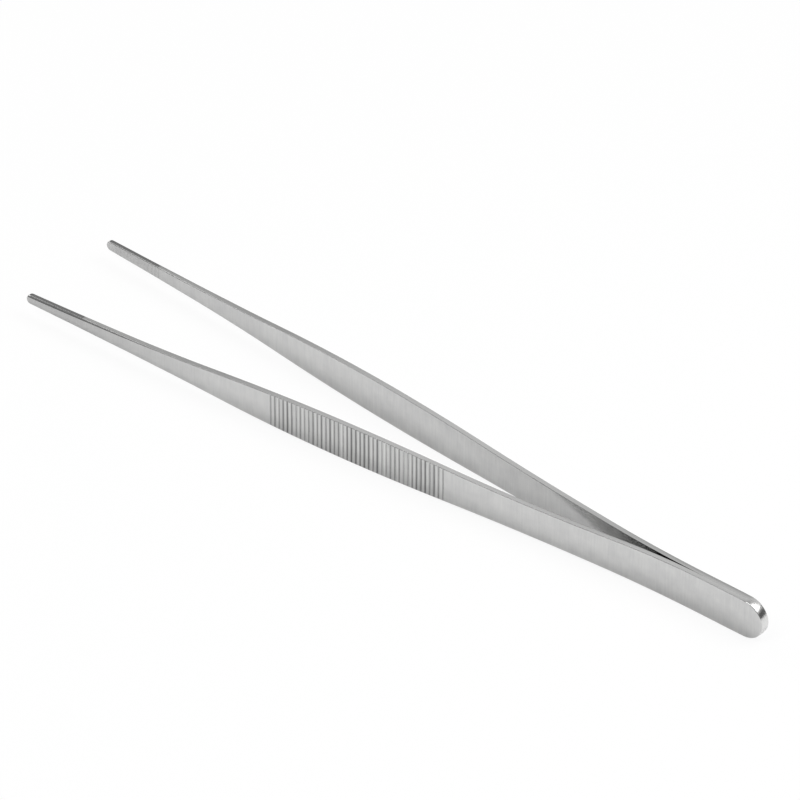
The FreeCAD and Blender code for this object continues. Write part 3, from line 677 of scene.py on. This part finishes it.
def studio_world():
    """Soft grey surroundings that the steel mirrors: dim at the horizon, brightest about half way up, dimmer
    again overhead and in front, and with one black flag. The camera sees white."""
    world = bpy.data.worlds.new("studio")
    world.use_nodes = True
    tree = world.node_tree
    tree.nodes.clear()
    output = tree.nodes.new("ShaderNodeOutputWorld")
    place = add_node(tree, "ShaderNodeTexCoord")
    split = add_node(tree, "ShaderNodeSeparateXYZ", {}, {"Vector": place.outputs["Generated"]})
    sky = add_node(tree, "ShaderNodeValToRGB", {}, {"Fac": split.outputs["Z"]},
                   [(height, (grey, grey, grey)) for height, grey in SKY])
    # In front of the tweezers no part of the room is brighter than a dim grey.
    front = add_node(tree, "ShaderNodeMapRange", {"From Min": FRONT_FADE[0], "From Max": FRONT_FADE[1]},
                     {"Value": split.outputs["Y"]})
    room = add_node(tree, "ShaderNodeMix",
                    {"data_type": "RGBA", "blend_type": "DARKEN", MIX_B: (*[FRONT_GREY] * 3, 1)},
                    {"Factor": front.outputs["Result"], MIX_A: sky.outputs["Color"]})
    # A black flag stands low behind the heel, and darkens what the heel's round end mirrors.
    beyond, behind, low = [
        add_node(tree, "ShaderNodeMapRange", {"From Min": clear, "From Max": dark},
                 {"Value": split.outputs[axis]})
        for axis, (clear, dark) in FLAG_EDGES.items()]
    corner = add_node(tree, "ShaderNodeMath", {"operation": "MULTIPLY"},
                      {0: beyond.outputs["Result"], 1: behind.outputs["Result"]})
    flag = add_node(tree, "ShaderNodeMath", {"operation": "MULTIPLY"},
                    {0: corner.outputs["Value"], 1: low.outputs["Result"]})
    flagged = add_node(tree, "ShaderNodeMix", {"data_type": "RGBA", MIX_B: (*[FLAG_GREY] * 3, 1)},
                       {"Factor": flag.outputs["Value"], MIX_A: room.outputs[MIX_RESULT]})
    air = add_node(tree, "ShaderNodeBackground", {"Strength": SKY_STRENGTH},
                   {"Color": flagged.outputs[MIX_RESULT]})
    white = add_node(tree, "ShaderNodeBackground", {"Color": (1, 1, 1, 1), "Strength": 1.0})
    rays = add_node(tree, "ShaderNodeLightPath")
    seen = add_node(tree, "ShaderNodeMath", {"operation": "MAXIMUM"},
                    {0: rays.outputs["Is Camera Ray"], 1: rays.outputs["Is Transmission Ray"]})
    look = add_node(tree, "ShaderNodeMixShader", {},
                    {"Fac": seen.outputs["Value"], 1: air.outputs["Background"],
                     2: white.outputs["Background"]})
    tree.links.new(look.outputs["Shader"], output.inputs["Surface"])
    bpy.context.scene.world = world


# Operators.

def settings():
    """The sizes and colours that the panel shows."""
    return bpy.context.scene.tweezers


def make_arm(name, nodes, side):
    """One arm as a single piece from the heel to the tip, in place of the heel and arm parts."""
    arm, grip = settings().arm, settings().grip
    half, facts = arm_surface(arm, grip, side)
    points, facts, faces = closed_grid(half, facts, arm.width / 2)
    piece = make_piece(name, points, faces, facts)
    finish = bpy.data.materials.get("satin_stainless_steel") or satin_steel(settings().finish)
    piece.data.materials.append(finish)
    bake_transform(piece)
    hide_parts(*nodes)


class TWEEZERS_OT_near_arm(bpy.types.Operator):
    """Make the near arm, ribbed on its outer face"""
    bl_idname = "tweezers.near_arm"
    bl_label = "Near Arm"

    def execute(self, context):
        make_arm("near_arm_strip", ("near_arm_heel", "near_arm_blade"), -1)
        return {"FINISHED"}


class TWEEZERS_OT_far_arm(bpy.types.Operator):
    """Make the far arm, the near arm's mirror image"""
    bl_idname = "tweezers.far_arm"
    bl_label = "Far Arm"

    def execute(self, context):
        make_arm("far_arm_strip", ("far_arm_heel", "far_arm_blade"), 1)
        return {"FINISHED"}


class TWEEZERS_OT_heel_weld(bpy.types.Operator):
    """Make the weld bead that joins the arms round the heel"""
    bl_idname = "tweezers.heel_weld"
    bl_label = "Heel Weld"

    def execute(self, context):
        piece = make_piece("heel_weld_bead", *weld_surface(settings().arm, settings().weld))
        piece.data.materials.append(weld_steel(settings().finish))
        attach(piece, "heel")
        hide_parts("heel_weld")
        return {"FINISHED"}


class TWEEZERS_OT_studio(bpy.types.Operator):
    """Make the floor, the surroundings, the lamps and the camera"""
    bl_idname = "tweezers.studio"
    bl_label = "Studio"

    def execute(self, context):
        make_floor(settings().finish)
        studio_world()
        for lamp in LAMPS:
            make_lamp(*lamp)
        make_camera()
        context.scene.view_settings.view_transform = "Standard"
        return {"FINISHED"}


def make_floor(colours):
    """A wide level sheet of paper, just under the tweezers."""
    corners = [(FLOOR_REACH * x, FLOOR_REACH * y, FLOOR_Z) for x, y in ((-1, -1), (1, -1), (1, 1), (-1, 1))]
    mesh = bpy.data.meshes.new("studio_floor")
    mesh.from_pydata(corners, [], [(0, 1, 2, 3)])
    mesh.materials.append(studio_floor(colours))
    floor = bpy.data.objects.new("studio_floor", mesh)
    bpy.context.scene.collection.objects.link(floor)


def direction(azimuth, elevation):
    """Unit vector towards a place: azimuth 0 is -Y, 90 is +X, both angles in degrees."""
    a, e = math.radians(azimuth), math.radians(elevation)
    return Vector((math.sin(a) * math.cos(e), -math.cos(a) * math.cos(e), math.sin(e)))


def make_lamp(name, azimuth, elevation, distance, size, power):
    """A square softbox that faces the middle of the floor."""
    data = bpy.data.lights.new(name, "AREA")
    data.shape = "SQUARE"
    data.size = size
    data.energy = power
    lamp = bpy.data.objects.new(name, data)
    way = direction(azimuth, elevation)
    lamp.location = way * distance
    lamp.rotation_mode = "QUATERNION"
    lamp.rotation_quaternion = (-way).to_track_quat("-Z", "Y")
    bpy.context.scene.collection.objects.link(lamp)


def make_camera():
    """A long lens, turned a little about its own axis, that looks down on the tweezers past the heel."""
    data = bpy.data.cameras.new("studio_camera")
    data.lens = CAMERA_LENS
    data.sensor_width = CAMERA_SENSOR
    data.clip_start, data.clip_end = CAMERA_CLIP
    camera = bpy.data.objects.new("studio_camera", data)
    back = direction(CAMERA_AZIMUTH, CAMERA_ELEVATION)
    aim = Vector(CAMERA_AIM)
    level = (-back).to_track_quat("-Z", "Y").to_matrix().to_4x4()
    roll = Matrix.Rotation(math.radians(CAMERA_ROLL), 4, "Z")
    camera.matrix_world = Matrix.Translation(aim + back * CAMERA_DISTANCE) @ level @ roll
    bpy.context.scene.collection.objects.link(camera)
    bpy.context.scene.camera = camera


class TWEEZERS_PT_panel(bpy.types.Panel):
    """Sizes, colours and steps of the tweezers"""
    bl_label = "Aquascaping Tweezers"
    bl_idname = "TWEEZERS_PT_panel"
    bl_space_type = "VIEW_3D"
    bl_region_type = "UI"
    bl_category = "Tweezers"

    def draw(self, context):
        groups = context.scene.tweezers
        for group in (groups.arm, groups.grip, groups.weld, groups.finish):
            box = self.layout.box()
            for name in group.__annotations__:
                box.prop(group, name)
        for step in STEPS:
            self.layout.operator(step.bl_idname)


STEPS = (TWEEZERS_OT_near_arm, TWEEZERS_OT_far_arm, TWEEZERS_OT_heel_weld, TWEEZERS_OT_studio)
CLASSES = (ArmSizes, GripSizes, WeldSizes, FinishColours, TweezersSettings, *STEPS, TWEEZERS_PT_panel)


def register():
    for item in CLASSES:
        bpy.utils.register_class(item)
    bpy.types.Scene.tweezers = PointerProperty(type=TweezersSettings)


def unregister():
    del bpy.types.Scene.tweezers
    for item in reversed(CLASSES):
        bpy.utils.unregister_class(item)


def main():
    """Builds the tweezers and their studio."""
    register()
    bpy.ops.tweezers.near_arm()
    bpy.ops.tweezers.far_arm()
    bpy.ops.tweezers.heel_weld()
    bpy.ops.tweezers.studio()


if __name__ == "__main__":
    main()
